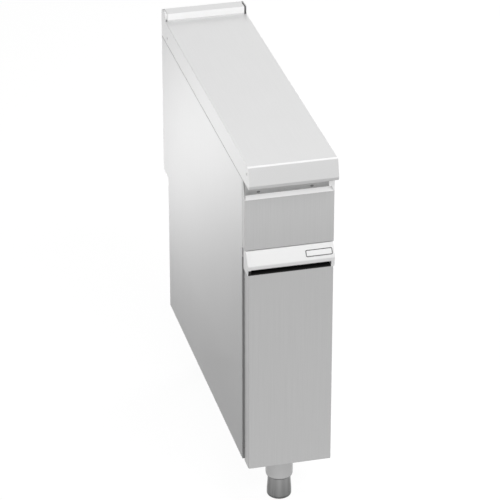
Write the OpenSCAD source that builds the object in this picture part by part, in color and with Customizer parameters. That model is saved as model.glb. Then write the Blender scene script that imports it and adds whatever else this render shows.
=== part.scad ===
// Neutral work module for a modular cooking line: a narrow stainless worktop with a folded nose,
// a closed carcass on two adjustable feet and a full-height pull-out bottle rack.
// X runs across the front, Y from the front to the rear, Z up. The origin is on the floor,
// under the middle of the module.

/* [Module] */
// Width across the side faces
module_w = 200; // [180:10:300]
// Depth from the front edge of the worktop's nose to the rear
module_d = 850; // [780:10:950]
// Height of the working surface above the floor
worktop_h = 900; // [880:5:950]
// Height of the carcass's underside above the floor, with the feet turned in
foot_h = 140; // [135:1:150]

/* [Worktop] */
// Thickness of the worktop's sheet
worktop_t = 2; // [1.5:0.5:3]
// Height of the folded edge all round the worktop
skirt_h = 50; // [46:1:60]
// How far the worktop's nose stands in front of the fascia
nose_reach = 35; // [34:1:40]
// Depth of the nose's sloping face, seen from above
nose_slope_d = 11; // [6:1:16]
// Height of the nose's sloping face
nose_slope_h = 42; // [34:1:42]
// How far the lip under the nose runs back
nose_lip_d = 3; // [1:1:6]
// Outer radius of the worktop's long bends
worktop_bend_r = 4; // [3.5:0.5:6]
// Radius along the worktop's side edges
worktop_edge_r = 2.5; // [1:0.5:3]

/* [Upstand] */
// Height of the rear upstand above the working surface
upstand_h = 18; // [12:1:60]
// Depth of the upstand
upstand_d = 37; // [25:1:60]
// Gap between the upstand and the cheek at each end
upstand_gap = 4.5; // [3:0.5:8]

/* [Carcass] */
// Thickness of the carcass's sheets
sheet_t = 1.2; // [1:0.1:1.5]
// How far the carcass's front edge lies behind the fascia
carcass_setback = 27; // [26:1:34]
// Width of the flanges folded inwards round the side panels
flange_w = 12; // [10:1:13]
// Depth of the service step in the lower half of the rear
service_step_d = 50; // [40:5:80]
// Height of the service step above the floor
service_step_h = 494; // [440:1:540]
// How far the back panels lie in from the side panels' rear edges
back_inset = 3; // [3:0.5:6]
// Shadow gap between the worktop's folded edge and the panels under it
shadow_gap = 1; // [0.5:0.1:2]
// Diameter of the holes that join neighbouring modules
joining_hole_d = 6.5; // [5:0.5:9]

/* [Fascia] */
// Height of the worktop above the fascia's top edge
fascia_drop = 91; // [88:1:100]
// Height of the fascia's face
fascia_h = 124; // [110:1:130]
// Depth of the shadow recess above the fascia
recess_d = 22; // [20:1:22]
// Distance between the two fascia screws
fascia_screw_pitch = 120; // [80:5:140]

/* [Pull-out front] */
// Gap between the fascia and the pull-out's handle
front_gap = 1; // [1:0.5:3]
// Height of the handle zone at the top of the pull-out front
handle_zone_h = 52; // [50:1:58]
// How far the pull-out's face stands in front of the fascia
front_stand = 16; // [12:1:17]
// Depth of the pull-out front
front_t = 38; // [36:1:40]
// How far the face lies in from the module's sides
front_side_gap = 4; // [2:0.5:6]
// How far the face's lower edge hangs under the carcass
front_drop = 2; // [0:0.5:4]
// Thickness of the pull-out front's sheets
front_sheet_t = 1.2; // [1:0.1:1.5]

/* [Handle] */
// Thickness of the handle's folded sheet
handle_t = 1.5; // [1:0.1:2]
// How far the handle's face leans forward
handle_lean = 19; // [18:1:22]
// Height of the handle's leaning face
handle_face_h = 29; // [24:1:31]
// Height of the finger slot under the handle
finger_slot_h = 12; // [10:1:13]
// Thickness of each handle end cap
end_cap_w = 7.5; // [4:0.5:9]
// Width of the blank label plate
label_w = 62; // [40:1:70]
// Height of the blank label plate
label_h = 17; // [12:1:20]

/* [Runners] */
// Length of each closed runner
runner_l = 650; // [600:10:680]
// Height of a runner's outer channel
runner_h = 45; // [35:1:50]
// Depth of a runner, from its wall to the rack
runner_d = 12.7; // [12:0.1:16]
// Thickness of the runner channels
runner_t = 1.5; // [1.2:0.1:1.8]
// Running gap between one channel and the next
runner_gap = 0.35; // [0.3:0.05:0.5]
// Height of the runners' centre line above the carcass's underside
runner_up = 240; // [215:5:255]

/* [Bottle rack] */
// How far the rack ends in front of the closed runners' rear ends
rack_short = 25; // [15:5:80]
// Height of each tray's folded rim
tray_rim_h = 35; // [20:1:50]
// Height of the lowest tray above the carcass's underside
tray_up = 32; // [30:1:40]
// Height of the front's top edge above the rack's uprights
rack_drop = 40; // [30:5:60]
// Height of the side wires above their tray
wire_up = 75; // [60:1:100]
// Diameter of the side wires
wire_d = 5; // [4:0.5:6]

/* [Feet] */
// Distance of the front foot's axis from the carcass's front edge
front_foot_inset = 51; // [48:1:90]
// Distance of the rear foot's axis from the service step
rear_foot_inset = 71; // [60:1:110]
// Diameter of the foot's upper collar
collar_d = 63; // [60:1:66]
// Length of the collar under its plate
collar_l = 84; // [78:1:86]
// Diameter of the turning sleeve at its waist
sleeve_waist_d = 53; // [48:1:54]
// Diameter of the turning sleeve at its flare
sleeve_flare_d = 57; // [55:1:60]
// Diameter of the plastic glide ring under the sleeve
pad_d = 50; // [44:1:51]
// Diameter of the ring's hole
pad_hole_d = 20; // [10:1:24]
// Side of the square plate on each foot
foot_plate_w = 80; // [78:1:84]
// How far a sleeve can be turned down
foot_travel = 30; // [20:1:35]

/* [Hidden] */

// Colours of the finishes
steel = [0.80, 0.80, 0.80];
bright_steel = [0.90, 0.90, 0.90];
dull_steel = [0.62, 0.62, 0.63];
black_plastic = [0.10, 0.10, 0.10];
grey_plastic = [0.45, 0.45, 0.46];

// A cut runs this far past the face that it leaves
over = 1;
// Gap at rest between a piece and the seat that carries it
seat_gap = 0.2;
// Faces round a turned piece
round_fn = 64;
// Flats along one bend of a folded sheet
bend_steps = 8;

// Main planes
half_w = module_w / 2;
front_y = -module_d / 2;
rear_y = module_d / 2;
fascia_y = front_y + nose_reach;
carcass_y = fascia_y + carcass_setback;
step_y = rear_y - service_step_d;
top_z = worktop_h;
skirt_z = top_z - skirt_h;
panel_top_z = skirt_z - shadow_gap;
base_z = foot_h;
step_z = service_step_h;
fascia_top_z = top_z - fascia_drop;
fascia_low_z = fascia_top_z - fascia_h;

// Worktop
slope_low_z = top_z - nose_slope_h;
nose_up = [nose_slope_d, nose_slope_h] / norm([nose_slope_d, nose_slope_h]);
nose_down = [nose_lip_d, skirt_z - slope_low_z] / norm([nose_lip_d, skirt_z - slope_low_z]);
nose_half_angle = acos(nose_up * nose_down) / 2;
// The sharp corner of the nose lies in front of the rounded one by this much
nose_lost = worktop_bend_r * ((nose_up + nose_down).x / norm(nose_up + nose_down)
                              / sin(nose_half_angle) - 1);
nose_y = front_y - nose_lost;
lip_y = nose_y + nose_lip_d;
slope_top_y = nose_y + nose_slope_d;
upstand_y = rear_y - upstand_d;
upstand_z = top_z + upstand_h;
under_top_z = top_z - worktop_t;
in_skirt_x = half_w - worktop_t;
upstand_half_w = in_skirt_x - upstand_gap;
// Joining holes: how far in front of the fascia and of the upstand, and how far down
joining_front_out = 15;
joining_front_down = 20;
joining_rear_out = 22;
joining_rear_down = 34;
joining_front_y = fascia_y - joining_front_out;
joining_rear_y = upstand_y - joining_rear_out;
joining_front_z = top_z - joining_front_down;
joining_rear_z = top_z - joining_rear_down;
stiffener_w = 60;
stiffener_h = 25;
stiffener_foot = 15;
stiffener_end = 60;

// Side panels
in_side_x = half_w - sheet_t;
tongue_x = in_skirt_x - seat_gap;
panel_fold_r = 2;
ledge_w = 13;
bottom_flange_w = 15;
// The tongue inside the worktop's folded edge ends in front of the rear joining hole
tongue_end = 38;

// Back panels
back_screw_end = 50;
back_lap = 12;

// Base panel
base_wall_h = 22;

// Cross rails
rail_d = 25;
rail_h = 36;
rail_low_z = panel_top_z - sheet_t - seat_gap - rail_h;
cross_rail_h = 38;

// Screws
m4_r = 2;
m4_head_r = 4;
m4_head_h = 2.4;
m5_r = 2.5;
m5_head_r = 4.75;
m5_head_h = 2.8;
m6_r = 3;
m6_head_r = 5.77;
m6_head_h = 4;
m6_nut_h = 5;
fascia_screw_l = 12;
back_screw_l = 8;
rack_screw_l = 10;
tapped_gap = 0.05;
clear_gap = 0.3;
screw_fn = 32;

// Pull-out front
handle_top_z = fascia_low_z - front_gap;
face_top_z = handle_top_z - handle_zone_h;
face_low_z = base_z - front_drop;
face_y = fascia_y - front_stand;
face_back_y = face_y + front_t;
face_half_w = half_w - front_side_gap;
face_bend_r = 3;
hat_half_w = 20;
hat_foot = 18;
hat_end = 25;
buffer_r = 4;
buffer_l = carcass_y - face_back_y - seat_gap;
buffer_x = face_half_w - buffer_r - seat_gap;
buffer_end = 30;

// Handle profile, as points across the module's length and height
handle_over = 2;
handle_half_w = face_half_w + handle_over;
handle_low_z = face_top_z + finger_slot_h;
lean_low_z = handle_top_z - handle_face_h;
handle_tuck = 2;
lip_w = 10;
lean_y = fascia_y - handle_lean;
handle_line = [
    [face_back_y, face_top_z], [face_back_y, handle_top_z], [fascia_y, handle_top_z],
    [lean_y, lean_low_z], [lean_y + handle_tuck, handle_low_z],
    [lean_y + handle_tuck + lip_w, handle_low_z]
];
handle_radii = [2, 3, 5, 4];
lean_angle = atan2(handle_lean, handle_face_h);
// The end caps and the liner start this far behind the face
face_lap = 1;
liner_t = 1.5;
liner_wall_y = fascia_y + 8;
liner_bend_r = 3;
liner_wall_drop = 18;
liner_nose_d = 4;
liner_nose_drop = 12;
label_t = 0.8;
label_down = 0.56;
label_end = 3;

// Runners: each distance is counted from the bracket's face towards the rack
bracket_behind = 0.8;
bracket_face_x = in_side_x - flange_w + bracket_behind;
bracket_h = 60;
bracket_front = 5;
bracket_rear = 25;
runner_in = 10;
runner_y = carcass_y + runner_in;
runner_rear_y = runner_y + runner_l;
runner_z = base_z + runner_up;
// Each channel is this much shorter, at each end, than the one around it
runner_stagger = 2;
lip_gap = 1.7;
outer_lip = runner_d - lip_gap;
middle_in = runner_t + runner_gap;
inner_in = 2 * middle_in;

// Bottle rack
rack_x = bracket_face_x - runner_d;
rack_rail_t = 3;
rack_rail_h = 60;
upright_t = 2;
upright_w = 25;
upright_x = rack_x - rack_rail_t;
upright_under = 6;
upright_over = 15;
rack_y = face_back_y;
rack_rear_y = runner_rear_y - rack_short;
tray_x = upright_x - upright_t;
tray_low_z = base_z + tray_up;
upright_low_z = tray_low_z - upright_under;
upright_top_z = face_top_z - rack_drop;
tray_pitch = (upright_top_z - upright_over - wire_up - tray_low_z) / 2;
tray_z = [for (i = [0 : 2]) tray_low_z + i * tray_pitch];
rack_screw_end = 40;
tray_gap = 0.5;
wire_gap = 0.1;
rack_screw_z = [upright_low_z + rack_screw_end, upright_top_z - rack_screw_end];
rack_screw_x = upright_x - (upright_w + upright_t) / 2;

// Feet
foot_y = [carcass_y + front_foot_inset, step_y - rear_foot_inset];
plate_t = 3;
plate_z = base_z + sheet_t;
collar_top_z = plate_z - plate_t;
collar_low_z = collar_top_z - collar_l;
collar_wall = 2;
collar_r = collar_d / 2;
collar_roll_h = 8;
collar_roll_d = 3.2;
sleeve_gap = 0.4;
waist_r = sleeve_waist_d / 2;
flare_r = sleeve_flare_d / 2;
sleeve_drop = 20;
sleeve_top_z = collar_top_z - sleeve_drop;
sleeve_wall = 2.5;
sleeve_floor_t = 6;
waist_drop = 4;
flare_z = 7;
sleeve_low_z = 1.5;
pad_h = 4;
pad_r = pad_d / 2;
pad_hole_r = pad_hole_d / 2;
sleeve_lip = 1.5;
sleeve_low_r = pad_r + sleeve_lip;
thread_gap = 0.1;
spindle_r = 6;
spindle_head_r = 10.97;
spindle_head_h = 7.5;
sleeve_nut_h = 10;
sleeve_nut_drop = 8;
sleeve_nut_z = sleeve_top_z - sleeve_nut_h - sleeve_nut_drop;
spindle_tail = 8;
spindle_low_z = sleeve_nut_z - foot_travel - spindle_tail;
foot_screw_edge = 9;
foot_screw_at = foot_plate_w / 2 - foot_screw_edge;
foot_screw_tip = 10;

// Unit vector from a to b
function toward(a, b) = (b - a) / norm(b - a);
// Unit vector at the left of the way from a to b
function left_of(a, b) = let (u = toward(a, b)) [-u.y, u.x];

// One corner of a folded line, as an arc of the given radius
function bend(before, at, after, radius) =
    radius <= 0 ? [at] :
    let (
        u = toward(at, before),
        v = toward(at, after),
        half_angle = acos(u * v) / 2,
        centre = at + (u + v) / norm(u + v) * radius / sin(half_angle),
        start = at + u * radius / tan(half_angle) - centre,
        end = at + v * radius / tan(half_angle) - centre,
        start_angle = atan2(start.y, start.x),
        turn = (atan2(end.y, end.x) - start_angle + 540) % 360 - 180
    )
    [for (k = [0 : bend_steps])
        centre + radius * [cos(start_angle + turn * k / bend_steps),
                           sin(start_angle + turn * k / bend_steps)]];

// A line through the points p whose inner corners are bent with the given radii
function folded_line(p, radii) = [
    p[0],
    for (i = [1 : len(p) - 2]) each bend(p[i - 1], p[i], p[i + 1], radii[i - 1]),
    p[len(p) - 1]
];

// The same line moved to its left by d
function moved_line(q, d) = [
    for (i = [0 : len(q) - 1])
        let (
            last = len(q) - 1,
            n = left_of(q[max(i - 1, 0)], q[max(i, 1)]),
            m = left_of(q[min(i, last - 1)], q[min(i + 1, last)])
        )
        q[i] + d * (n + m) / (1 + n * m)
];

function reversed(q) = [for (i = [len(q) - 1 : -1 : 0]) q[i]];

// A folded sheet's section; a negative thickness lies to the right of the line
module sheet_section(p, radii, thickness) {
    q = folded_line(p, radii);
    polygon(concat(q, reversed(moved_line(q, thickness))));
}

// A profile drawn in Y and Z, run across the module
module across(x0, x1) translate([x0, 0, 0]) rotate([90, 0, 90]) linear_extrude(x1 - x0) children();

// A profile drawn in X and Z, run from front to rear
module lengthways(y0, y1) translate([0, y1, 0]) rotate([90, 0, 0]) linear_extrude(y1 - y0) children();

// A profile drawn in X and Y, run upwards
module upright(z0, z1) translate([0, 0, z0]) linear_extrude(z1 - z0) children();

// A box between two corners
module block(low, high) translate(low) cube(high - low);

// A round hole or rod along X, Y or Z
module rod_x(r, x0, x1, y, z, fn = screw_fn)
    translate([x0, y, z]) rotate([0, 90, 0]) cylinder(h = x1 - x0, r = r, $fn = fn);
module rod_y(r, x, y0, y1, z, fn = screw_fn)
    translate([x, y1, z]) rotate([90, 0, 0]) cylinder(h = y1 - y0, r = r, $fn = fn);
module rod_z(r, x, y, z0, z1, fn = screw_fn)
    translate([x, y, z0]) cylinder(h = z1 - z0, r = r, $fn = fn);

// The worktop's outline from the side, inset by the sheet's thickness for the space under it
worktop_line = [
    [lip_y, skirt_z], [nose_y, slope_low_z], [slope_top_y, top_z], [upstand_y, top_z],
    [upstand_y, upstand_z], [rear_y, upstand_z], [rear_y, skirt_z]
];
worktop_radii = [worktop_bend_r, worktop_bend_r, 0, worktop_edge_r, worktop_edge_r];

module worktop_edge_cut(side)
    difference() {
        block([side > 0 ? half_w - worktop_edge_r : -half_w - over, front_y - over,
               top_z - worktop_edge_r],
              [side > 0 ? half_w + over : worktop_edge_r - half_w, upstand_y, top_z + over]);
        rod_y(worktop_edge_r, side * (half_w - worktop_edge_r), front_y - 2 * over,
              upstand_y + over, top_z - worktop_edge_r, round_fn);
    }

module worktop() {
    outer = folded_line(worktop_line, worktop_radii);
    inner = moved_line(outer, -worktop_t);
    color(steel) difference() {
        across(-half_w, half_w) polygon(outer);
        across(-in_skirt_x, in_skirt_x)
            polygon(concat(inner, [[rear_y - worktop_t, skirt_z - over],
                                   [inner[0].x, skirt_z - over]]));
        for (side = [-1, 1]) {
            worktop_edge_cut(side);
            translate([side > 0 ? upstand_half_w : -in_skirt_x, upstand_y, skirt_z])
                cube([upstand_gap, rear_y - worktop_t - upstand_y, upstand_z]);
        }
        rod_x(joining_hole_d / 2, -half_w - over, half_w + over, joining_front_y, joining_front_z);
        rod_x(joining_hole_d / 2, -half_w - over, half_w + over, joining_rear_y, joining_rear_z);
    }
}

module worktop_stiffener() {
    x = stiffener_w / 2;
    low_z = under_top_z - stiffener_h;
    color(dull_steel)
        lengthways(carcass_y + stiffener_end, upstand_y - stiffener_end)
            sheet_section([[-x - stiffener_foot, under_top_z], [-x, under_top_z], [-x, low_z],
                           [x, low_z], [x, under_top_z], [x + stiffener_foot, under_top_z]],
                          [0, 0, 0, 0], -sheet_t);
}

module upstand_end_caps() {
    color(steel) for (side = [-1, 1])
        block([side > 0 ? upstand_half_w - sheet_t : -upstand_half_w, upstand_y + worktop_t,
               under_top_z],
              [side > 0 ? upstand_half_w : sheet_t - upstand_half_w, rear_y - worktop_t,
               upstand_z - worktop_t]);
}

// The left panel: skin, bottom flange and the tongue that carries the worktop, then its flanges
module side_panel() {
    back_y = rear_y - back_inset - sheet_t;
    low_back_y = step_y - back_inset - sheet_t;
    in_flange_x = flange_w - in_side_x;
    return_z = step_z + back_inset + sheet_t;
    difference() {
        union() {
            lengthways(carcass_y, rear_y)
                sheet_section([[bottom_flange_w - half_w, base_z], [-half_w, base_z],
                               [-half_w, panel_top_z], [-tongue_x, panel_top_z],
                               [-tongue_x, under_top_z], [ledge_w - tongue_x, under_top_z]],
                              [panel_fold_r, 0, 0, panel_fold_r], -sheet_t);
            block([-in_side_x - over / 2, carcass_y, base_z + sheet_t / 2],
                  [in_flange_x, carcass_y + sheet_t, fascia_low_z]);
            block([-in_side_x - over / 2, back_y - sheet_t, return_z + panel_fold_r],
                  [in_flange_x, back_y, panel_top_z - sheet_t / 2]);
            block([-in_side_x - over / 2, low_back_y - sheet_t, return_z],
                  [in_flange_x, back_y - panel_fold_r, return_z + sheet_t]);
        }
        block([-half_w - over, step_y, base_z - over], [0, rear_y + over, step_z]);
        block([-in_side_x, low_back_y, base_z - over], [0, rear_y + over, step_z + back_inset]);
        block([-in_side_x, back_y, base_z - over], [0, rear_y + over, skirt_z]);
        block([-half_w - over, upstand_y - tongue_end, skirt_z], [0, rear_y + over, top_z]);
        for (z = back_screw_z(true)) rod_y(m4_r + tapped_gap, -back_screw_x, back_y - 2 * sheet_t,
                                           back_y + over, z);
        for (z = back_screw_z(false)) rod_y(m4_r + tapped_gap, -back_screw_x,
                                            low_back_y - 2 * sheet_t, low_back_y + over, z);
    }
    difference() {
        block([-in_side_x - sheet_t / 2, low_back_y - sheet_t, base_z + sheet_t / 2],
              [in_flange_x, low_back_y, step_z + back_inset]);
        for (z = back_screw_z(false)) rod_y(m4_r + tapped_gap, -back_screw_x,
                                            low_back_y - 2 * sheet_t, low_back_y + over, z);
    }
}

// Places of the back panels' screws
back_screw_x = in_side_x - flange_w / 2;
function back_screw_z(upper) =
    upper ? [step_z + back_screw_end, panel_top_z - back_screw_end]
          : [base_z + back_screw_end, step_z - back_screw_end];

module side_panel_left() color(steel) side_panel();
module side_panel_right() color(steel) mirror([1, 0, 0]) side_panel();

module back_panel_upper() {
    x = in_side_x - seat_gap;
    outer_y = rear_y - back_inset;
    low_z = step_z + back_inset;
    color(dull_steel) difference() {
        across(-x, x)
            sheet_section([[outer_y, panel_top_z], [outer_y, low_z],
                           [step_y - back_inset - back_lap, low_z]],
                          [panel_fold_r], -sheet_t);
        for (side = [-1, 1], z = back_screw_z(true))
            rod_y(m4_r + clear_gap, side * back_screw_x, outer_y - 2 * sheet_t, outer_y + over, z);
    }
}

module back_panel_lower() {
    x = in_side_x - seat_gap;
    outer_y = step_y - back_inset;
    color(dull_steel) difference() {
        block([-x, outer_y - sheet_t, base_z], [x, outer_y, step_z + back_inset]);
        for (side = [-1, 1], z = back_screw_z(false))
            rod_y(m4_r + clear_gap, side * back_screw_x, outer_y - 2 * sheet_t, outer_y + over, z);
    }
}

// A pan-head screw along Y: its head's seat is at y and its shank runs the given way
module pan_screw(r, head_r, head_h, length, x, y, z, way) {
    rod_y(r, x, way > 0 ? y : y - length, way > 0 ? y + length : y, z);
    rod_y(head_r, x, way > 0 ? y - head_h : y, way > 0 ? y : y + head_h, z);
}

module back_panel_screws() {
    color(bright_steel) for (side = [-1, 1], upper = [true, false], z = back_screw_z(upper))
        pan_screw(m4_r, m4_head_r, m4_head_h, back_screw_l, side * back_screw_x,
                  (upper ? rear_y : step_y) - back_inset, z, -1);
}

// A tray with walls on all sides
module base_panel() {
    x = half_w - panel_fold_r;
    y0 = carcass_y + sheet_t + seat_gap;
    y1 = step_y - back_inset - 2 * sheet_t - seat_gap;
    z = base_z + sheet_t;
    color(dull_steel) difference() {
        block([-x, y0, z], [x, y1, z + base_wall_h]);
        block([sheet_t - x, y0 + sheet_t, z + sheet_t],
              [x - sheet_t, y1 - sheet_t, z + base_wall_h + over]);
        for (y = foot_y) {
            rod_z(spindle_r + clear_gap, 0, y, z - over, z + 2 * sheet_t);
            for (i = [-1, 1], j = [-1, 1])
                rod_z(m6_r + clear_gap, i * foot_screw_at, y + j * foot_screw_at, z - over,
                      z + 2 * sheet_t);
        }
    }
}

// A channel across the carcass, open towards the rear or the front
module cross_channel(front, low_z, height, depth, way) {
    across(seat_gap - in_side_x, in_side_x - seat_gap)
        sheet_section([[front + way * depth, low_z], [front, low_z], [front, low_z + height],
                       [front + way * depth, low_z + height]],
                      [panel_fold_r, panel_fold_r], -way * sheet_t);
}

module front_top_rail() {
    y = fascia_y + recess_d + sheet_t;
    color(dull_steel) difference() {
        cross_channel(y, rail_low_z, rail_h, rail_d, 1);
        for (side = [-1, 1])
            rod_y(m4_r + tapped_gap, side * fascia_screw_pitch / 2, y - over, y + 2 * sheet_t,
                  fascia_screw_z);
    }
}

module rear_top_rail() {
    color(dull_steel)
        cross_channel(rear_y - back_inset - 2 * sheet_t, rail_low_z, rail_h, rail_d, -1);
}

module front_cross_rail() {
    color(dull_steel)
        cross_channel(carcass_y + sheet_t, fascia_low_z - cross_rail_h, cross_rail_h, rail_d, 1);
}

fascia_screw_z = rail_low_z + rail_h / 2;

// One folded sheet: the lower return that lies on the cross rail, the face, the top return and the
// upright flange behind the recess, with an ear folded back at each side
module fascia_panel() {
    in_x = in_side_x - seat_gap;
    color(steel) {
        difference() {
            across(-half_w, half_w)
                sheet_section([[carcass_y + rail_d / 2, fascia_low_z], [fascia_y, fascia_low_z],
                               [fascia_y, fascia_top_z], [fascia_y + recess_d, fascia_top_z],
                               [fascia_y + recess_d, under_top_z - seat_gap]],
                              [panel_fold_r, panel_fold_r, panel_fold_r], -sheet_t);
            for (side = [-1, 1]) {
                rod_y(m4_r + clear_gap, side * fascia_screw_pitch / 2, fascia_y + recess_d - over,
                      fascia_y + recess_d + 2 * sheet_t, fascia_screw_z);
                block([side > 0 ? in_x : -half_w - over, carcass_y - seat_gap, fascia_low_z - over],
                      [side > 0 ? half_w + over : -in_x, carcass_y + rail_d,
                       fascia_low_z + sheet_t + over]);
                block([side > 0 ? tongue_x : -half_w - over, fascia_y, panel_top_z],
                      [side > 0 ? half_w + over : -tongue_x, carcass_y, top_z]);
            }
        }
        for (side = [-1, 1])
            block([side > 0 ? in_side_x : -half_w, fascia_y + panel_fold_r, fascia_low_z],
                  [side > 0 ? half_w : -in_side_x, carcass_y - seat_gap, panel_top_z]);
        for (side = [-1, 1])
            block([side > 0 ? in_side_x : -half_w, fascia_y, fascia_top_z - panel_fold_r],
                  [side > 0 ? half_w : -in_side_x, fascia_y + recess_d, panel_top_z]);
    }
}

module fascia_screws() {
    color(bright_steel) for (side = [-1, 1])
        pan_screw(m4_r, m4_head_r, m4_head_h, fascia_screw_l, side * fascia_screw_pitch / 2,
                  fascia_y + recess_d, fascia_screw_z, 1);
}

// A channel section in X and Z: its web at x, its flanges running the given way
module channel_section(x, height, depth, thickness, way) {
    z = runner_z;
    sheet_section([[x + way * depth, z + way * height / 2], [x, z + way * height / 2],
                   [x, z - way * height / 2], [x + way * depth, z - way * height / 2]],
                  [0, 0], thickness);
}

module runner_bracket() {
    lengthways(runner_y - bracket_front, runner_rear_y + bracket_rear)
        channel_section(-bracket_face_x, bracket_h, in_side_x - bracket_face_x, sheet_t, -1);
}

module runner_outer() {
    lengthways(runner_y, runner_rear_y)
        channel_section(-bracket_face_x, runner_h, outer_lip, runner_t, 1);
}

module runner_middle() {
    lengthways(runner_y + runner_stagger, runner_rear_y - runner_stagger)
        channel_section(middle_in - bracket_face_x, runner_h - 2 * middle_in,
                        outer_lip - middle_in, runner_t, 1);
}

module runner_inner() {
    lengthways(runner_y + 2 * runner_stagger, runner_rear_y - 2 * runner_stagger)
        channel_section(runner_d - bracket_face_x, runner_h - 2 * inner_in,
                        runner_d - inner_in, runner_t, -1);
}

module runner_bracket_left() color(dull_steel) runner_bracket();
module runner_bracket_right() color(dull_steel) mirror([1, 0, 0]) runner_bracket();
module runner_outer_left() color(bright_steel) runner_outer();
module runner_outer_right() color(bright_steel) mirror([1, 0, 0]) runner_outer();
module runner_middle_left() color(dull_steel) runner_middle();
module runner_middle_right() color(dull_steel) mirror([1, 0, 0]) runner_middle();
module runner_inner_left() color(bright_steel) runner_inner();
module runner_inner_right() color(bright_steel) mirror([1, 0, 0]) runner_inner();

module foot_plate(y) {
    a = foot_plate_w / 2;
    color(steel) difference() {
        block([-a, y - a, collar_top_z], [a, y + a, plate_z]);
        rod_z(spindle_r + clear_gap, 0, y, collar_top_z - over, plate_z + over);
        for (i = [-1, 1], j = [-1, 1])
            rod_z(m6_r + clear_gap, i * foot_screw_at, y + j * foot_screw_at,
                  collar_top_z - over, plate_z + over);
    }
}

// A tube whose lower end is rolled in to guide the sleeve
module foot_collar(y) {
    mouth_r = waist_r + sleeve_gap;
    roll_r = collar_r - collar_roll_d;
    color(steel) translate([0, y, 0]) rotate_extrude($fn = round_fn)
        polygon([
            [collar_r, collar_top_z],
            for (k = [0 : bend_steps])
                [roll_r + (collar_r - roll_r) * cos(90 * k / bend_steps),
                 collar_low_z + collar_roll_h * (1 - sin(90 * k / bend_steps))],
            [mouth_r, collar_low_z], [mouth_r, collar_low_z + collar_wall],
            [collar_r - collar_wall, collar_low_z + collar_roll_h],
            [collar_r - collar_wall, collar_top_z]
        ]);
}

// A hexagon-head bolt that hangs from the base panel; the sleeve's nut turns on it
module foot_spindle(y) {
    color(bright_steel) {
        rod_z(spindle_r, 0, y, spindle_low_z, plate_z + sheet_t + spindle_head_h / 2);
        translate([0, y, plate_z + sheet_t])
            cylinder(h = spindle_head_h, r = spindle_head_r, $fn = 6);
    }
}

// The turning sleeve: a tube with a nut near its top, flared and rounded at its foot
module foot_sleeve(y) {
    waist_z = collar_low_z - waist_drop;
    bore_r = waist_r - sleeve_wall;
    floor_z = flare_z + sleeve_floor_t;
    color(dull_steel) translate([0, y, 0]) difference() {
        rotate_extrude($fn = round_fn)
            polygon([
                [0, sleeve_top_z], [waist_r, sleeve_top_z],
                for (k = [0 : bend_steps])
                    [waist_r + (flare_r - waist_r) * (1 - cos(180 * k / bend_steps)) / 2,
                     waist_z + (flare_z - waist_z) * k / bend_steps],
                for (k = [1 : bend_steps])
                    [sleeve_low_r + (flare_r - sleeve_low_r) * cos(90 * k / bend_steps),
                     flare_z + (sleeve_low_z - flare_z) * sin(90 * k / bend_steps)],
                [pad_r + seat_gap, sleeve_low_z], [pad_r + seat_gap, pad_h], [0, pad_h]
            ]);
        rod_z(bore_r, 0, 0, floor_z, sleeve_nut_z, round_fn);
        rod_z(bore_r, 0, 0, sleeve_nut_z + sleeve_nut_h, sleeve_top_z + over, round_fn);
        rod_z(spindle_r + thread_gap, 0, 0, floor_z, sleeve_top_z + over);
    }
}

// A plastic ring pressed into the sleeve's foot
module foot_pad(y) color(grey_plastic) difference() {
    rod_z(pad_r, 0, y, 0, pad_h, round_fn);
    rod_z(pad_hole_r, 0, y, -over, pad_h + over, round_fn);
}

module front_foot_plate() foot_plate(foot_y[0]);
module rear_foot_plate() foot_plate(foot_y[1]);
module front_foot_collar() foot_collar(foot_y[0]);
module rear_foot_collar() foot_collar(foot_y[1]);
module front_foot_spindle() foot_spindle(foot_y[0]);
module rear_foot_spindle() foot_spindle(foot_y[1]);
module front_foot_sleeve() foot_sleeve(foot_y[0]);
module rear_foot_sleeve() foot_sleeve(foot_y[1]);
module front_foot_pad() foot_pad(foot_y[0]);
module rear_foot_pad() foot_pad(foot_y[1]);

module foot_screws() {
    color(bright_steel) for (y = foot_y, i = [-1, 1], j = [-1, 1])
        translate([i * foot_screw_at, y + j * foot_screw_at, 0]) {
            rod_z(m6_r, 0, 0, collar_top_z - m6_head_h / 2, plate_z + foot_screw_tip);
            translate([0, 0, collar_top_z - m6_head_h])
                cylinder(h = m6_head_h, r = m6_head_r, $fn = 6);
        }
}

module foot_nuts() {
    color(bright_steel) for (y = foot_y, i = [-1, 1], j = [-1, 1])
        translate([i * foot_screw_at, y + j * foot_screw_at, 0]) difference() {
            translate([0, 0, plate_z + sheet_t]) cylinder(h = m6_nut_h, r = m6_head_r, $fn = 6);
            rod_z(m6_r + tapped_gap, 0, 0, plate_z, plate_z + sheet_t + m6_nut_h + over);
        }
}

// The face is a folded tray, closed at its top and foot
module pullout_front() {
    face_line = [[-face_half_w, face_back_y], [-face_half_w, face_y], [face_half_w, face_y],
                 [face_half_w, face_back_y]];
    outline = folded_line(face_line, [face_bend_r, face_bend_r]);
    color(steel) {
        upright(face_low_z, face_top_z)
            sheet_section(face_line, [face_bend_r, face_bend_r], front_sheet_t);
        upright(face_low_z, face_low_z + front_sheet_t) polygon(outline);
        upright(face_top_z - front_sheet_t, face_top_z) polygon(outline);
    }
}

module pullout_liner() {
    x = face_half_w - front_sheet_t - seat_gap;
    color(dull_steel) difference() {
        block([-x, face_back_y - front_sheet_t, face_low_z + front_sheet_t + seat_gap],
              [x, face_back_y, face_top_z - front_sheet_t - seat_gap]);
        for (side = [-1, 1], z = rack_screw_z)
            rod_y(m5_r + tapped_gap, side * rack_screw_x, face_back_y - 2 * front_sheet_t,
                  face_back_y + over, z);
    }
}

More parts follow.
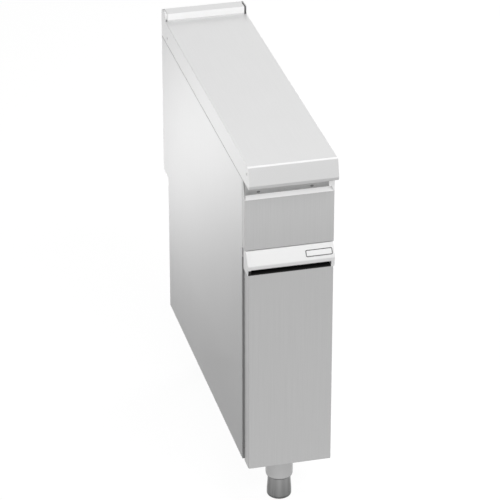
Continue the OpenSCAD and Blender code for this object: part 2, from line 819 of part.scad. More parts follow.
// A hat section that ties the face to the liner
module pullout_stiffener() {
    y0 = face_y + 2 * front_sheet_t;
    y1 = face_back_y - front_sheet_t;
    x = hat_half_w;
    color(dull_steel) upright(face_low_z + hat_end, face_top_z - hat_end)
        sheet_section([[-x - hat_foot, y1], [-x, y1], [-x, y0], [x, y0], [x, y1],
                       [x + hat_foot, y1]],
                      [0, 0, 0, 0], -front_sheet_t);
}

module handle() {
    x = handle_half_w - end_cap_w;
    color(bright_steel) across(-x, x) sheet_section(handle_line, handle_radii, handle_t);
}

module handle_end_cap(x0) {
    color(bright_steel) across(x0, x0 + end_cap_w)
        polygon(folded_line([each [for (i = [0 : 4]) handle_line[i]],
                             [face_y + face_lap, face_top_z]], handle_radii));
}

module handle_end_cap_left() handle_end_cap(-handle_half_w);
module handle_end_cap_right() handle_end_cap(handle_half_w - end_cap_w);

// A black profile that lines the finger slot
module grip_liner() {
    x = handle_half_w - end_cap_w;
    color(black_plastic) across(-x, x)
        sheet_section([[face_y + face_lap, face_top_z], [liner_wall_y, face_top_z],
                       [liner_wall_y, handle_top_z - liner_wall_drop],
                       [fascia_y - liner_nose_d, handle_top_z - liner_nose_drop]],
                      [liner_bend_r, liner_bend_r], liner_t);
}

module label_plate() {
    low = label_down + label_h / norm([handle_lean, handle_face_h]) / 2;
    color(bright_steel)
        translate([handle_half_w - label_end - label_w, fascia_y - handle_lean * low,
                   handle_top_z - handle_face_h * low])
            rotate([-lean_angle, 0, 0]) translate([0, -label_t, 0])
                cube([label_w, label_t, label_h]);
}

module closing_buffers() {
    color(black_plastic)
        for (side = [-1, 1], z = [face_low_z + buffer_end, face_top_z - buffer_end])
            rod_y(buffer_r, side * buffer_x, face_back_y, face_back_y + buffer_l, z);
}

module rack_rail(side) {
    color(steel) block([side > 0 ? upright_x : -rack_x, rack_y + upright_t, runner_z - rack_rail_h / 2],
                       [side > 0 ? rack_x : -upright_x, rack_rear_y, runner_z + rack_rail_h / 2]);
}

// An angle upright: one leg lies on the rail, the other runs across, screwed to the liner
module rack_upright(side, front) {
    y0 = front ? rack_y : rack_rear_y - upright_w;
    y1 = front ? rack_y + upright_w : rack_rear_y;
    leg_y = front ? rack_y : rack_rear_y - upright_t;
    color(steel) difference() {
        union() {
            block([side > 0 ? tray_x : -upright_x, y0, upright_low_z],
                  [side > 0 ? upright_x : -tray_x, y1, upright_top_z]);
            block([side > 0 ? upright_x - upright_w : -upright_x, leg_y, upright_low_z],
                  [side > 0 ? upright_x : upright_w - upright_x, leg_y + upright_t, upright_top_z]);
        }
        if (front) for (z = rack_screw_z)
            rod_y(m5_r + clear_gap, side * rack_screw_x, rack_y - over, rack_y + 2 * upright_t, z);
    }
}

module rack_rail_left() rack_rail(-1);
module rack_rail_right() rack_rail(1);
module rack_upright_front_left() rack_upright(-1, true);
module rack_upright_front_right() rack_upright(1, true);
module rack_upright_rear_left() rack_upright(-1, false);
module rack_upright_rear_right() rack_upright(1, false);

module rack_tray(z) {
    x = tray_x - seat_gap;
    y0 = rack_y + upright_t + m5_head_h + tray_gap;
    y1 = rack_rear_y - upright_t - seat_gap;
    color(steel) difference() {
        block([-x, y0, z], [x, y1, z + tray_rim_h]);
        block([sheet_t - x, y0 + sheet_t, z + sheet_t],
              [x - sheet_t, y1 - sheet_t, z + tray_rim_h + over]);
    }
}

module rack_tray_lower() rack_tray(tray_z[0]);
module rack_tray_middle() rack_tray(tray_z[1]);
module rack_tray_upper() rack_tray(tray_z[2]);

module rack_side_wires() {
    x = tray_x - wire_d / 2 - wire_gap;
    color(bright_steel) for (side = [-1, 1], z = tray_z)
        rod_y(wire_d / 2, side * x, rack_y + upright_t + seat_gap, rack_rear_y - upright_t - seat_gap,
              z + wire_up);
}

module rack_screws() {
    color(bright_steel) for (side = [-1, 1], z = rack_screw_z)
        pan_screw(m5_r, m5_head_r, m5_head_h, rack_screw_l, side * rack_screw_x,
                  rack_y + upright_t, z, -1);
}

worktop();
worktop_stiffener();
upstand_end_caps();
side_panel_left();
side_panel_right();
back_panel_upper();
back_panel_lower();
base_panel();
front_top_rail();
rear_top_rail();
front_cross_rail();
fascia_panel();
fascia_screws();
back_panel_screws();
runner_bracket_left();
runner_bracket_right();
runner_outer_left();
runner_outer_right();
front_foot_plate();
rear_foot_plate();
front_foot_collar();
rear_foot_collar();
front_foot_spindle();
rear_foot_spindle();
foot_screws();
foot_nuts();
front_foot_sleeve();
rear_foot_sleeve();
front_foot_pad();
rear_foot_pad();
runner_middle_left();
runner_middle_right();
pullout_front();
pullout_liner();
pullout_stiffener();
handle();
handle_end_cap_left();
handle_end_cap_right();
grip_liner();
label_plate();
closing_buffers();
runner_inner_left();
runner_inner_right();
rack_rail_left();
rack_rail_right();
rack_upright_front_left();
rack_upright_front_right();
rack_upright_rear_left();
rack_upright_rear_right();
rack_tray_lower();
rack_tray_middle();
rack_tray_upper();
rack_side_wires();
rack_screws();
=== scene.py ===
import math

import bpy
from mathutils import Euler, Matrix, Vector


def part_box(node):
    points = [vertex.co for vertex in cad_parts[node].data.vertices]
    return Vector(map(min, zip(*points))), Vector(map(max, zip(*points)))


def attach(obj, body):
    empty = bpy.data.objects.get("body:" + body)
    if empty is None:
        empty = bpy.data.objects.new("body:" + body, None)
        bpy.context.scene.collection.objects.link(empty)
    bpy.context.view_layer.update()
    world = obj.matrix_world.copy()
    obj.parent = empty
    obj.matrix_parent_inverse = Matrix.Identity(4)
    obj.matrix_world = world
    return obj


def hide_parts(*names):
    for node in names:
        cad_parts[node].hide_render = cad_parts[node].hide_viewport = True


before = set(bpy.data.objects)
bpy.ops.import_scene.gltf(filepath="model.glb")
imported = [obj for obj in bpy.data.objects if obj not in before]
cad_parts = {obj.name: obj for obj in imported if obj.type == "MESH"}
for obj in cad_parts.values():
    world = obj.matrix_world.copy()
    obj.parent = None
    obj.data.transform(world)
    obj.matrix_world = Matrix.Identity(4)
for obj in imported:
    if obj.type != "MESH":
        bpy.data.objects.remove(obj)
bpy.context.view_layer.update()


# The view: a long lens in front of the module, a little to its left and well above it, so that
# its left side, its front and its worktop show together.
camera_lens = bpy.data.cameras.new("camera")
camera_lens.sensor_width = 36
camera_lens.lens = 208.43
camera_lens.clip_end = 100
camera = bpy.data.objects.new("camera", camera_lens)
camera.location = (-1.4457, -5.7729, 3.6324)
camera.rotation_euler = Euler((math.radians(62.054), 0, math.radians(-14.149)))
bpy.context.collection.objects.link(camera)
bpy.context.scene.camera = camera
bpy.context.scene.view_settings.view_transform = "Standard"


# The side panels: each is one folded stainless sheet, ground with a belt from top to bottom. They
# are welded to the base, and the worktop's skirt hangs over their upper edge. Their top inside that
# joint is painted dark as shade, their front edge gets painted shade beside the door and under the
# nose, and a painted sheen lightens their middle height.
class Field:
    """A value on a surface, whose arithmetic adds Math nodes to the finish that it belongs to."""

    def __init__(self, recipe, socket):
        self.recipe = recipe
        self.socket = socket

    def maths(self, operation, first, second=0.0):
        return self.recipe.node("Math", {"operation": operation}, {0: first, 1: second})

    def __add__(self, other):
        return self.maths("ADD", self, other)

    def __sub__(self, other):
        return self.maths("SUBTRACT", self, other)

    def __rsub__(self, other):
        return self.maths("SUBTRACT", other, self)

    def __mul__(self, other):
        return self.maths("MULTIPLY", self, other)

    def __truediv__(self, other):
        return self.maths("DIVIDE", self, other)

    def __gt__(self, edge):
        return self.maths("GREATER_THAN", self, edge)

    def __lt__(self, edge):
        return self.maths("LESS_THAN", self, edge)

    def __abs__(self):
        return self.maths("ABSOLUTE", self)

    def at_least(self, other):
        return self.maths("MAXIMUM", self, other)

    def at_most(self, other):
        return self.maths("MINIMUM", self, other)

    def part(self, output):
        """Another output of the node that gives this value."""
        return Field(self.recipe, self.socket.node.outputs[output])

    __radd__ = __add__
    __rmul__ = __mul__


class Recipe:
    """The node tree of a finish, or of the room."""

    def __init__(self, tree):
        self.tree = tree

    def node(self, kind, settings=None, values=None):
        """Adds a node: its settings come first, then the value or link of each named socket."""
        made = self.tree.nodes.new("ShaderNode" + kind)
        for name, value in (settings or {}).items():
            setattr(made, name, value)
        for name, value in (values or {}).items():
            self.join(value, made.inputs[name])
        return Field(self, made.outputs[0])

    def join(self, value, socket):
        if isinstance(value, Field):
            self.tree.links.new(value.socket, socket)
        else:
            socket.default_value = value


class Finish(Recipe):
    """A surface of one tone, with scratches or grain, faint clouds and softly broken edges."""

    cloud_scale = 7.0
    cloud_tone = 0.04
    cloud_roughness = 0.1
    scratch_roughness = 0.12
    scratch_depth = 0.00002

    def __init__(self, name, tone, metallic, roughness, grain, streaks=0.05, edge=0.0008):
        self.material = bpy.data.materials.new(name)
        self.material.use_nodes = True
        super().__init__(self.material.node_tree)
        place = self.node("TexCoord").part("Object")
        self.x = self.node("SeparateXYZ", values={"Vector": place})
        self.y = self.x.part("Y")
        self.z = self.x.part("Z")
        run = self.node("Mapping", values={"Vector": place, "Scale": grain})
        scratches = self.node(
            "TexNoise", values={"Vector": run, "Scale": 1.0, "Detail": 3.0, "Roughness": 0.65}
        )
        clouds = self.node(
            "TexNoise", values={"Vector": place, "Scale": self.cloud_scale, "Detail": 2.0}
        )
        self.shade = tone * (1 + (scratches - 0.5) * 2 * streaks + (clouds - 0.5) * self.cloud_tone)
        self.rough = roughness + (scratches - 0.5) * self.scratch_roughness
        self.rough = self.rough + (clouds - 0.5) * self.cloud_roughness
        self.metallic = metallic
        self.normal = self.node("Bevel", {"samples": 4}, {"Radius": edge})
        self.height = scratches
        self.relief = self.scratch_depth

    def within(self, value, low, high):
        """One where the value lies between two limits, and nought elsewhere."""
        return (value > low) * (value < high)

    def tint(self, where, change):
        """Lightens what a mask covers by a share, or darkens it by one below nought."""
        self.shade = self.shade * (1 + change * where)

    def lean(self, where, direction):
        """Shades what a mask covers as if it faced another way."""
        turned = self.node("CombineXYZ", values=dict(zip("XYZ", direction)))
        mixed = self.node("Mix", {"data_type": "VECTOR"}, {0: where, 4: self.normal, 5: turned})
        self.normal = mixed.part(1)

    def give(self, *names):
        """Completes the finish, and gives it to the nodes with those names."""
        bump = {"Strength": 1.0, "Distance": self.relief, "Height": self.height, "Normal": self.normal}
        surface = {
            "Base Color": self.shade,
            "Roughness": self.rough,
            "Metallic": self.metallic,
            "Normal": self.node("Bump", values=bump),
        }
        for socket, value in surface.items():
            self.join(value, self.tree.nodes["Principled BSDF"].inputs[socket])
        for name in names:
            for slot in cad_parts[name].material_slots:
                slot.material = self.material


def belt(axis):
    """The stretch of a pattern whose scratches run along one axis."""
    along = 5
    across = 320
    return tuple(along if letter == axis else across for letter in "XYZ")


joint_shade_z = 0.8475
panel_front_y = -0.3618
handle_middle_z = 0.658
nose_shadow_z = 0.80
sheen_z = 0.35
sheen_reach = 0.27

side_steel = Finish("side_steel", 0.8, 0.2, 0.38, belt("Z"))
front_edge = side_steel.y < panel_front_y
beside_door = side_steel.z < handle_middle_z
under_nose = side_steel.z > nose_shadow_z
sheen = (1 - abs(side_steel.z - sheen_z) / sheen_reach).at_least(0.0)
# Painted shade: the panel's top, inside the joint under the skirt, is darkened.
side_steel.tint(side_steel.z > joint_shade_z, -0.5)
# Painted shade: the front edge is darkened beside the door and under the nose, where they shade it.
side_steel.tint(front_edge * beside_door.at_least(under_nose), -0.38)
# Painted sheen: the middle height of the panel is lightened, most at sheen_z.
side_steel.tint(sheen, 0.09)
side_steel.give("side_panel_left", "side_panel_right")


# The inner sheets: base, rails, back panels, brackets and foot plates are plain mill sheet, left
# as it came from the rolls, a little greyer and duller than the ground faces.
mill_steel = Finish("mill_steel", 0.6, 0.55, 0.42, (60, 60, 60), streaks=0.04)
mill_steel.give(
    "base_panel",
    "front_top_rail",
    "rear_top_rail",
    "front_cross_rail",
    "worktop_stiffener",
    "runner_bracket_left",
    "runner_bracket_right",
    "front_foot_plate",
    "rear_foot_plate",
    "pullout_liner",
    "pullout_stiffener",
)
back_steel = Finish("back_steel", 0.66, 0.45, 0.4, belt("X"))
back_steel.give("back_panel_upper", "back_panel_lower")


# The worktop: one thick sheet, ground along its depth, with its nose, its side edges and its
# upstand folded from it. Painted light and shade: the flat top is lighter at the rear and darker at
# the front, the nose's face and the lip under it are darkened, and the upstand's front band and the
# nose's top bend carry painted highlights. The side skirts are darker towards the rear.
skirt_x = -0.0985
level_z = 0.8985
nose_rear_y = -0.392
nose_top_z = 0.8965
lip_rear_y = -0.415
lip_top_z = 0.8578
crease_rear_y = -0.4108
crease_low_z = 0.8978
bend_front_y = 0.386
bend_rear_y = 0.3905
bend_low_z = 0.903
skirt_fade_from_y = -0.1
skirt_fade_reach = 0.3
leaning_forward = (0.0, -0.9, 0.436)

top_steel = Finish("worktop_steel", 0.8, 0.5, 0.34, belt("Y"), streaks=0.03)
skirt = top_steel.x < skirt_x
level = top_steel.z > level_z
nose = (1 - skirt) * (top_steel.y < nose_rear_y) * (top_steel.z < nose_top_z)
lip = (top_steel.y < lip_rear_y) * (top_steel.z < lip_top_z)
crease = (top_steel.y < crease_rear_y) * (top_steel.z > crease_low_z)
upstand_bend = top_steel.within(top_steel.y, bend_front_y, bend_rear_y) * (top_steel.z > bend_low_z)
toward_rear = ((top_steel.y - skirt_fade_from_y) / skirt_fade_reach).at_least(0.0).at_most(1.0)
# Painted light and shade: the flat top is lighter towards the rear and darker at the front.
top_steel.tint(level * (1 - skirt), 0.03 + 0.1 * top_steel.y)
# Painted highlight: the upstand's front band is lightened and made more metallic.
top_steel.tint(upstand_bend, 0.1)
# Painted highlight: the nose's top bend is lightened and made fully metallic.
top_steel.tint(crease, 0.25)
# The skirt is darker towards the rear.
top_steel.tint(skirt * toward_rear, -0.05)
# Painted shade: the nose's face and the lip under it are darkened, where less light falls.
top_steel.tint(nose, -0.07)
top_steel.tint(lip, -0.08)
top_steel.metallic = 0.5 + 0.4 * upstand_bend + 0.5 * crease
top_steel.lean(upstand_bend, leaning_forward)
top_steel.give("worktop")

left_cap_x = -0.093
end_steel = Finish("end_steel", 0.8, 0.5, 0.3, belt("Y"), streaks=0.03)
left_cap = end_steel.x < left_cap_x
# Painted light: the left end piece's face, deep in its narrow slot, is lightened.
end_steel.tint(left_cap, 0.2)
end_steel.metallic = 0.5 + 0.5 * left_cap
end_steel.lean(left_cap, (-0.303, -0.505, 0.808))
end_steel.give("upstand_end_caps")


# The fascia: a folded sheet under the nose, ground from top to bottom like the pull-out's face. It
# turns back in a soft bend to a dark recess, where two screws hold it, with two dark spots painted
# on the recess wall below them. Painted light and shade: the fascia grows lighter upwards and the
# pull-out's face lighter downwards, the recess is darkened a little, the nose's shade is painted on
# the recess's left end wall, and the bent flange and the inside of the right end wall are lightened.
flange_low_z = 0.8082
recess_low_z = 0.8096
flange_front_y = -0.3895
recess_front_y = -0.3685
right_wall_x = (0.0938, 0.0994)
right_wall_rear_y = -0.3675
fascia_low_z = 0.6845
fascia_plain_z = 0.755
face_plain_z = 0.33
spot_middle_x = -0.0046
spot_half_pitch = 0.0599
spot_middle_z = 0.8152
spot_half_w = 0.004
spot_half_h = 0.0025
left_wall_x = -0.0995
corner_low_z = 0.8105
slant_low = (-0.39, 0.81)
slant_run = 0.45

front_steel = Finish("front_steel", 0.58, 0.6, 0.38, belt("Z"), streaks=0.06)
flange = front_steel.within(front_steel.z, flange_low_z, recess_low_z)
flange = flange * (front_steel.y > flange_front_y)
above_flange = front_steel.z > recess_low_z
recess = above_flange * (front_steel.y > recess_front_y)
right_wall = front_steel.within(front_steel.x, *right_wall_x) * above_flange
right_wall = right_wall * (front_steel.y < right_wall_rear_y)
painted_light = flange.at_least(right_wall)
on_fascia = front_steel.z > fascia_low_z
spot_across = (abs(front_steel.x - spot_middle_x) - spot_half_pitch) / spot_half_w
spot_up = (front_steel.z - spot_middle_z) / spot_half_h
dark_spot = (spot_across * spot_across + spot_up * spot_up < 1) * recess
slant_y = (front_steel.z - slant_low[1]) * slant_run + slant_low[0]
corner = (front_steel.x < left_wall_x) * (front_steel.z > corner_low_z) * (front_steel.y < slant_y)
# Painted light and shade: the fascia is lighter upwards and the pull-out's face lighter downwards.
front_steel.tint(on_fascia, 0.9 * (front_steel.z - fascia_plain_z))
front_steel.tint(1 - on_fascia, 0.18 * (face_plain_z - front_steel.z))
# Painted shade: the recess is darkened a little.
front_steel.tint(recess, -0.04)
# Painted light: the bent flange and the inside of the right end wall are lightened.
front_steel.shade = front_steel.shade + 0.4 * painted_light
# Two dark spots are painted on the recess wall, below the screws.
front_steel.tint(dark_spot, -0.6)
front_steel.tint(corner, -0.75)
front_steel.metallic = 0.6 + 0.25 * painted_light
front_steel.lean(flange, leaning_forward)
front_steel.lean(right_wall, (-0.5, -0.8, 0.33))
front_steel.give("fascia_panel", "pullout_front")


# The screws: pan heads with a cross recess, zinc plated. Two M4 hold the fascia, eight M4 the back
# panels and four M5 the bottle rack. Each was driven to its own angle.
def screw_tree():
    """A Geometry Nodes tree that sets one screw on each point that it is given."""
    tree = bpy.data.node_groups.new("pan_head_screws", "GeometryNodeTree")
    tree.interface.new_socket("Geometry", in_out="OUTPUT", socket_type="NodeSocketGeometry")
    tree.interface.new_socket("Geometry", in_out="INPUT", socket_type="NodeSocketGeometry")
    for name in ("Head Radius", "Head Height", "Shank Radius", "Shank Length"):
        tree.interface.new_socket(name, in_out="INPUT", socket_type="NodeSocketFloat")
    tree.interface.new_socket("Tilt", in_out="INPUT", socket_type="NodeSocketVector")
    tree.interface.new_socket("Seed", in_out="INPUT", socket_type="NodeSocketInt")
    tree.interface.new_socket("Finish", in_out="INPUT", socket_type="NodeSocketMaterial")
    given = tree.nodes.new("NodeGroupInput").outputs

    def add(kind, values, settings=None):
        made = tree.nodes.new(kind)
        for name, value in (settings or {}).items():
            setattr(made, name, value)
        for name, value in values.items():
            if isinstance(value, bpy.types.NodeSocket):
                tree.links.new(value, made.inputs[name])
            else:
                made.inputs[name].default_value = value
        return made.outputs

    def maths(operation, first, second):
        return add("ShaderNodeMath", {0: first, 1: second}, {"operation": operation})[0]

    def times(first, second):
        return maths("MULTIPLY", first, second)

    def vector(x, y, z):
        return add("ShaderNodeCombineXYZ", {"X": x, "Y": y, "Z": z})[0]

    rim_drop = -0.4
    over_middle = 0.0001
    bar_length = 1.05
    bar_width = 0.22
    bar_height = 1.1

    radius = given["Head Radius"]
    height = given["Head Height"]
    disc = add(
        "GeometryNodeMeshCylinder",
        {"Vertices": 32, "Side Segments": 2, "Fill Segments": 5, "Radius": radius, "Depth": height},
    )
    place = add("ShaderNodeSeparateXYZ", {0: add("GeometryNodeInputPosition", {})[0]})
    reach = maths("ADD", times(place[0], place[0]), times(place[1], place[1]))
    share = maths("DIVIDE", reach, times(radius, radius))
    upper = maths("GREATER_THAN", place[2], over_middle)
    drop = times(times(times(share, height), upper), rim_drop)
    crowned = add("GeometryNodeSetPosition", {"Geometry": disc[0], "Offset": vector(0.0, 0.0, drop)})
    lifted = add(
        "GeometryNodeTransform",
        {"Geometry": crowned[0], "Translation": vector(0.0, 0.0, times(height, 0.5))},
    )
    long_side = times(radius, bar_length)
    short_side = times(radius, bar_width)
    deep = times(height, bar_height)
    boolean = tree.nodes.new("GeometryNodeMeshBoolean")
    boolean.operation = "DIFFERENCE"
    tree.links.new(lifted[0], boolean.inputs["Mesh 1"])
    for size in (vector(long_side, short_side, deep), vector(short_side, long_side, deep)):
        bar = add("GeometryNodeMeshCube", {"Size": size})
        up = {"Geometry": bar[0], "Translation": vector(0.0, 0.0, height)}
        tree.links.new(add("GeometryNodeTransform", up)[0], boolean.inputs["Mesh 2"])
    rod = add(
        "GeometryNodeMeshCylinder",
        {"Vertices": 16, "Radius": given["Shank Radius"], "Depth": given["Shank Length"]},
    )
    below = vector(0.0, 0.0, times(given["Shank Length"], -0.5))
    shank = add("GeometryNodeTransform", {"Geometry": rod[0], "Translation": below})
    screw = tree.nodes.new("GeometryNodeJoinGeometry")
    tree.links.new(boolean.outputs[0], screw.inputs[0])
    tree.links.new(shank[0], screw.inputs[0])
    placed = add(
        "GeometryNodeInstanceOnPoints",
        {"Points": given["Geometry"], "Instance": screw.outputs[0], "Rotation": given["Tilt"]},
    )
    turn = add(
        "FunctionNodeRandomValue",
        {0: (0.0, 0.0, 0.0), 1: (0.0, 0.0, math.tau), "Seed": given["Seed"]},
        {"data_type": "FLOAT_VECTOR"},
    )
    turned = add(
        "GeometryNodeRotateInstances",
        {"Instances": placed[0], "Rotation": turn[0], "Local Space": True},
    )
    solid = add("GeometryNodeRealizeInstances", {"Geometry": turned[0]})
    finished = add("GeometryNodeSetMaterial", {"Geometry": solid[0], "Material": given["Finish"]})
    leaving = tree.nodes.new("NodeGroupOutput")
    tree.links.new(finished[0], leaving.inputs[0])
    return tree


def set_screws(name, node, body, seats, sizes, tilt, seed):
    """Drives screws whose heads sit on the given seats, in place of the CAD node."""
    points = bpy.data.meshes.new(name)
    points.from_pydata(seats, [], [])
    piece = bpy.data.objects.new(name, points)
    bpy.context.collection.objects.link(piece)
    modifier = piece.modifiers.new("screws", "NODES")
    modifier.node_group = screws
    wanted = {**sizes, "Tilt": tilt, "Seed": seed, "Finish": screw_zinc.material}
    for socket in screws.interface.items_tree:
        if socket.name in wanted:
            modifier[socket.identifier] = wanted[socket.name]
    view = bpy.context.evaluated_depsgraph_get()
    made = bpy.data.meshes.new_from_object(piece.evaluated_get(view), depsgraph=view)
    piece.modifiers.remove(modifier)
    piece.data = made
    made.name = name
    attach(piece, body)
    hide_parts(node)


facing_front = (math.pi / 2, 0.0, 0.0)
facing_rear = (-math.pi / 2, 0.0, 0.0)
m4_head = {"Head Radius": 0.004, "Head Height": 0.0024, "Shank Radius": 0.002}
m5_head = {"Head Radius": 0.00475, "Head Height": 0.0028, "Shank Radius": 0.0025}
fascia_screw_x = 0.06
fascia_seat_y = -0.368
fascia_screw_z = 0.8296
back_screw_x = 0.0928
upper_back_y = 0.422
lower_back_y = 0.372
back_seats = (
    (upper_back_y, 0.544),
    (upper_back_y, 0.799),
    (lower_back_y, 0.190),
    (lower_back_y, 0.444),
)
rack_screw_x = 0.0584
rack_seat_y = -0.366
rack_screw_z = (0.206, 0.552)

screws = screw_tree()
screw_zinc = Finish("screw_zinc", 0.62, 0.8, 0.3, (900, 900, 900), streaks=0.08, edge=0.0003)
screw_zinc.give()
set_screws(
    "fascia_pan_screws",
    "fascia_screws",
    "carcass",
    [(side * fascia_screw_x, fascia_seat_y, fascia_screw_z) for side in (-1, 1)],
    {**m4_head, "Shank Length": 0.012},
    facing_front,
    seed=3,
)
set_screws(
    "back_pan_screws",
    "back_panel_screws",
    "carcass",
    [(side * back_screw_x, seat_y, height) for side in (-1, 1) for seat_y, height in back_seats],
    {**m4_head, "Shank Length": 0.008},
    facing_rear,
    seed=5,
)
set_screws(
    "rack_pan_screws",
    "rack_screws",
    "pullout",
    [(side * rack_screw_x, rack_seat_y, height) for side in (-1, 1) for height in rack_screw_z],
    {**m5_head, "Shank Length": 0.010},
    facing_rear,
    seed=8,
)


# The foot fixings: hexagon screws and nuts of plated steel, and a spindle with a rolled thread on
# which each foot turns up and down.
thread_pitch = 0.0025
thread_depth = 0.0012

foot_zinc = Finish("foot_zinc", 0.6, 0.85, 0.32, (500, 500, 500), streaks=0.07, edge=0.0003)
foot_zinc.give("foot_screws", "foot_nuts")
spindle_steel = Finish("spindle_steel", 0.55, 0.9, 0.3, (300, 300, 300))
turns = spindle_steel.z * (math.tau / thread_pitch)
thread = spindle_steel.node("Math", {"operation": "SINE"}, {0: turns})
# Painted shade: the thread's grooves are darkened, besides the bump.
spindle_steel.shade = spindle_steel.shade * (0.85 + 0.15 * thread)
spindle_steel.height = thread * 0.5 + 0.5
spindle_steel.relief = thread_depth
spindle_steel.give("front_foot_spindle", "rear_foot_spindle")


# The feet: a drawn steel collar over a flared sleeve of a darker tone, both polished round, on a
# moulded grey glide. Both carry painted reflection bands around their axis, lightest at the front
# left. The collar's lower rim is painted dark as shade where the sleeve leaves it, and the sleeve
# grows darker towards the bottom and at its bottom rim.
rim_shade_height = 0.0035
sleeve_edge_z = 0.0075
painted_reflection_bearing = -0.25


def around(finish, axis_y, waves):
    """A wave around a foot's axis, highest at its front left."""
    bearing = finish.node("Math", {"operation": "ARCTAN2"}, {0: finish.x, 1: axis_y - finish.y})
    return finish.node("Math", {"operation": "COSINE"}, {0: (bearing - painted_reflection_bearing) * waves})


for foot in ("front_foot", "rear_foot"):
    collar_low, collar_high = (Vector(corner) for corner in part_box(foot + "_collar"))
    foot_y = (collar_low.y + collar_high.y) / 2
    collar_steel = Finish(foot + "_collar_steel", 0.54, 0.7, 0.33, (40, 40, 900), streaks=0.06)
    # Painted reflection: bands around the axis, lightest at the front left, darker at the sides.
    collar_steel.shade = collar_steel.shade * (0.96 + 0.05 * around(collar_steel, foot_y, 2))
    # Painted shade: the collar's lower rim, where the sleeve leaves it, is darkened.
    collar_steel.tint(collar_steel.z < collar_low.z + rim_shade_height, -0.65)
    collar_steel.give(foot + "_collar")
    sleeve_steel = Finish(foot + "_sleeve_steel", 0.29, 0.7, 0.3, (260, 260, 6), streaks=0.12)
    # Painted reflection bands around the axis; the sleeve also grows darker towards the bottom.
    bands = 0.2 * around(sleeve_steel, foot_y, 2) + 0.09 * around(sleeve_steel, foot_y, 9)
    sleeve_steel.shade = sleeve_steel.shade * (0.75 + 7.0 * sleeve_steel.z) * (0.87 + bands)
    # The sleeve's bottom rim is darker still.
    sleeve_steel.tint(sleeve_steel.z < sleeve_edge_z, -0.4)
    sleeve_steel.give(foot + "_sleeve")
glide_grey = Finish("glide_grey", 0.2, 0.0, 0.6, (700, 700, 700), streaks=0.15)
glide_grey.give("front_foot_pad", "rear_foot_pad")


# The runners: three rolled channels a side, bright zinc with the lines of the rolls along them,
# and a film of grease in which dust has settled.
runner_zinc = Finish("runner_zinc", 0.62, 0.85, 0.34, (4, 420, 420), streaks=0.08)
runner_zinc.give(
    "runner_outer_left",
    "runner_outer_right",
    "runner_middle_left",
    "runner_middle_right",
    "runner_inner_left",
    "runner_inner_right",
)


# The bottle rack: trays and angle uprights of satin steel on two rails, with drawn wires along
# the sides, all welded, then polished by tumbling.
rack_steel = Finish("rack_steel", 0.66, 0.6, 0.36, belt("Y"), streaks=0.05)
rack_steel.give(
    "rack_rail_left",
    "rack_rail_right",
    "rack_upright_front_left",
    "rack_upright_front_right",
    "rack_upright_rear_left",
    "rack_upright_rear_right",
    "rack_tray_lower",
    "rack_tray_middle",
    "rack_tray_upper",
)
wire_steel = Finish("wire_steel", 0.72, 0.9, 0.22, (900, 8, 900), streaks=0.05)
wire_steel.give("rack_side_wires")


# The handle: an extruded bar that leans over a finger slot, brushed along its length, between two
# satin end pieces. The slot is lined with black moulded plastic.
lip_high_z = 0.6535
cap_foot_z = 0.6445
cap_outside_x = -0.0968


def bar_finish(name):
    """The satin of the handle and its end pieces, brushed from side to side."""
    return Finish(name, 0.92, 0.35, 0.36, belt("X"), streaks=0.03, edge=0.001)


handle_steel = bar_finish("handle_steel")
# Painted light: the lower lip, which faces a little down, is lightened.
handle_steel.tint(handle_steel.z < lip_high_z, 0.05)
handle_steel.give("handle", "handle_end_cap_right")
cap_steel = bar_finish("cap_steel")
cap_foot = (cap_steel.z < cap_foot_z) * (cap_steel.x > cap_outside_x)
# The foot of the left end piece is painted nearly black, carrying the slot's black to the left end.
cap_steel.tint(cap_foot, -0.97)
cap_steel.metallic = 0.35 + 0.65 * cap_foot
cap_steel.give("handle_end_cap_left")
slot_black = Finish("slot_black", 0.012, 0.0, 0.55, (600, 600, 600), streaks=0.2)
slot_black.give("grip_liner")
buffer_black = Finish("buffer_black", 0.03, 0.0, 0.75, (500, 500, 500), streaks=0.2)
buffer_black.give("closing_buffers")


# The plate on the handle: a thin blank plate of pale anodised metal, stuck on, with a printed grey
# outline and nothing inside it.
plate_half_w = 0.031
plate_half_h = 0.0085
plate_lean_y = 0.547
plate_lean_z = 0.836
outline_inset = 0.0016
outline_corner = 0.0025
outline_half = 0.001

plate_grey = Finish("plate_grey", 0.94, 0.35, 0.36, belt("X"), streaks=0.03, edge=0.0003)
plate_low, plate_high = (Vector(corner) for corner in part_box("label_plate"))
plate_middle = (plate_low + plate_high) / 2
across = abs(plate_grey.x - plate_middle.x)
up = (plate_grey.y - plate_middle.y) * plate_lean_y + (plate_grey.z - plate_middle.z) * plate_lean_z
straight_w = plate_half_w - outline_inset - outline_corner
straight_h = plate_half_h - outline_inset - outline_corner
over_x = (across - straight_w).at_least(0.0)
over_y = (abs(up) - straight_h).at_least(0.0)
corner_reach = plate_grey.node("Math", {"operation": "SQRT"}, {0: over_x * over_x + over_y * over_y})
inside = (across < straight_w) * (abs(up) < straight_h)
plate_grey.tint((abs(corner_reach - outline_corner) < outline_half) * (1 - inside), -0.88)
plate_grey.give("label_plate")


# The room: a plain pale floor and a white room, seen as white by the eye and by the steel's
# reflections, and soft lamps: above, in front, along the left side, and behind to the right.
def seen_white(recipe):
    """One for what the eye or a reflection sees, nought for light that falls on a surface."""
    path = recipe.node("LightPath")
    eye = path.part("Is Camera Ray") + path.part("Is Glossy Ray") + path.part("Is Transmission Ray")
    return eye.at_most(1.0)


room_light = 0.12
floor_half = 8
floor_z = -0.0003
floor_shade = 0.12
floor_glow = 0.945

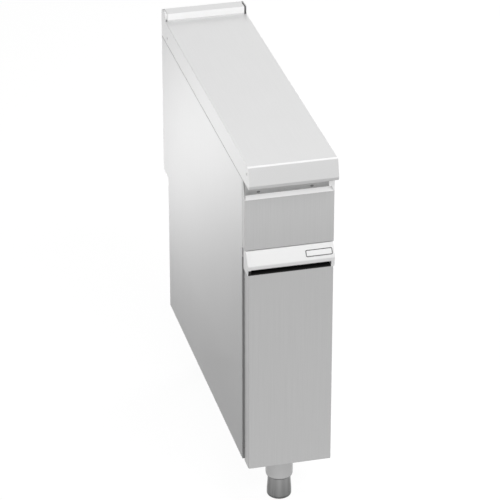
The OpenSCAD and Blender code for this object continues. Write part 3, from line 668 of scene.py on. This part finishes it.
room = bpy.data.worlds.new("white_room")
bpy.context.scene.world = room
room.use_nodes = True
room_recipe = Recipe(room.node_tree)
white = seen_white(room_recipe)
background = room.node_tree.nodes["Background"]
room_recipe.join(white + (1 - white) * room_light, background.inputs["Strength"])
background.inputs["Color"].default_value = (1, 1, 1, 1)

floor_corners = [(-1, -1), (1, -1), (1, 1), (-1, 1)]
floor_points = [(x * floor_half, y * floor_half, floor_z) for x, y in floor_corners]
floor_mesh = bpy.data.meshes.new("floor")
floor_mesh.from_pydata(floor_points, [], [(0, 1, 2, 3)])
floor = bpy.data.objects.new("floor", floor_mesh)
bpy.context.collection.objects.link(floor)
floor_paint = bpy.data.materials.new("pale_floor")
floor_paint.use_nodes = True
floor_recipe = Recipe(floor_paint.node_tree)
matt = floor_recipe.node("BsdfDiffuse", values={"Color": (floor_shade, floor_shade, floor_shade, 1)})
glow_strength = seen_white(floor_recipe) * floor_glow
glow = floor_recipe.node("Emission", values={"Color": (1, 1, 1, 1), "Strength": glow_strength})
both = floor_recipe.node("AddShader", values={0: matt, 1: glow})
floor_recipe.join(both, floor_paint.node_tree.nodes["Material Output"].inputs["Surface"])
floor_mesh.materials.append(floor_paint)


def softbox(name, size, watts, place, facing, along=(1, 0, 0)):
    """A square lamp that faces one way, its first side along another. It makes no glints."""
    data = bpy.data.lights.new(name, "AREA")
    data.shape = "RECTANGLE"
    data.size, data.size_y = size
    data.energy = watts
    back = -Vector(facing).normalized()
    rise = back.cross(Vector(along)).normalized()
    lamp = bpy.data.objects.new(name, data)
    lamp.rotation_euler = Matrix((rise.cross(back), rise, back)).transposed().to_euler()
    lamp.location = place
    lamp.visible_camera = False
    lamp.visible_glossy = False
    bpy.context.collection.objects.link(lamp)


softbox("lamp_above", (1.2, 1.0), 50, place=(0.55, -1.8, 3.4), facing=(-0.55, 1.5, -2.7))
softbox("lamp_front", (1.6, 1.0), 76, place=(-0.6, -4.2, 4.0), facing=(0.6, 3.8, -3.4))
softbox(
    "lamp_left",
    (1.45, 0.1),
    4.2,
    place=(-0.5, -0.09, 0.75),
    facing=(0.739, 0.299, 0.603),
    along=(0.044, 0.873, -0.486),
)
softbox("lamp_behind", (1.5, 1.2), 30, place=(2.2, 1.9, 1.6), facing=(-2.2, -1.9, -1.1))
